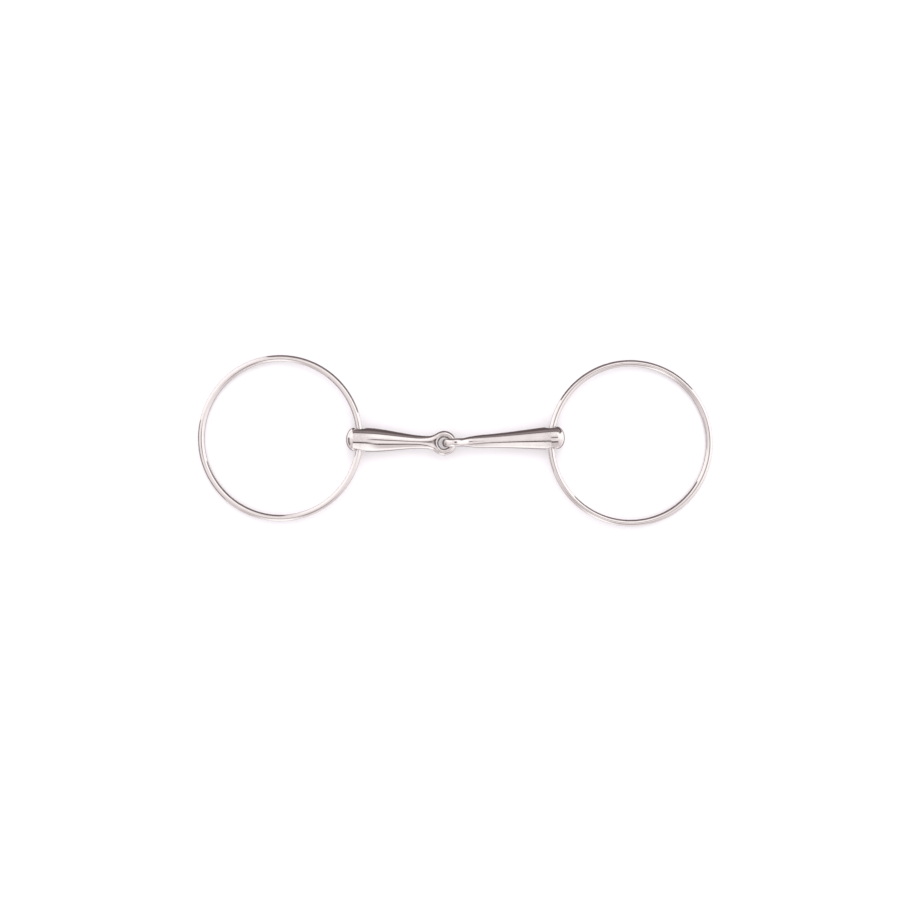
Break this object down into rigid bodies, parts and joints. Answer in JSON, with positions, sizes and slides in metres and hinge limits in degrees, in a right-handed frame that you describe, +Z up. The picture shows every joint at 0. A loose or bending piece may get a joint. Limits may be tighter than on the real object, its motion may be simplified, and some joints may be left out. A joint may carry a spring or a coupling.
{
  "type": "snaffle bit",
  "caption": "Loose-ring racing snaffle: a single-jointed tapered steel mouthpiece with a large thin wire ring swinging at each end.",
  "frame": {"origin": "on the table, under the middle of the whole bit as it lies", "axes": "+X along the mouthpiece from the left ring to the right ring, +Y across it in the plane of the table, +Z up off the table"},
  "size_m": [0.3488, 0.1156, 0.0163],
  "materials": {
    "cannon_steel": "mirror-polished forged stainless steel",
    "ring_steel": "polished drawn stainless wire, bent round and butt-welded"
  },
  "bodies": {
    "left_cannon": {"left_cannon": "cannon_steel"},
    "right_cannon": {"right_cannon": "cannon_steel"},
    "left_ring": {"left_ring": "ring_steel"},
    "right_ring": {"right_ring": "ring_steel"}
  },
  "joints": [
    {"name": "mouthpiece_fold", "type": "hinge", "parent": "left_cannon", "child": "right_cannon", "pos_m": [-0.00759, -0.00173, 0.00817], "axis": [0, 0, 1], "range_deg": [-110, 110]},
    {"name": "left_ring_swing", "type": "hinge", "parent": "left_cannon", "child": "left_ring", "pos_m": [-0.06453, 0.00076, 0.00817], "axis": [0.0175, 0.9998, 0], "range_deg": [-97, 103]},
    {"name": "right_ring_swing", "type": "hinge", "parent": "right_cannon", "child": "right_ring", "pos_m": [0.06463, 0.00174, 0.00817], "axis": [-0.0637, -0.998, 0], "range_deg": [-97, 103]}
  ]
}
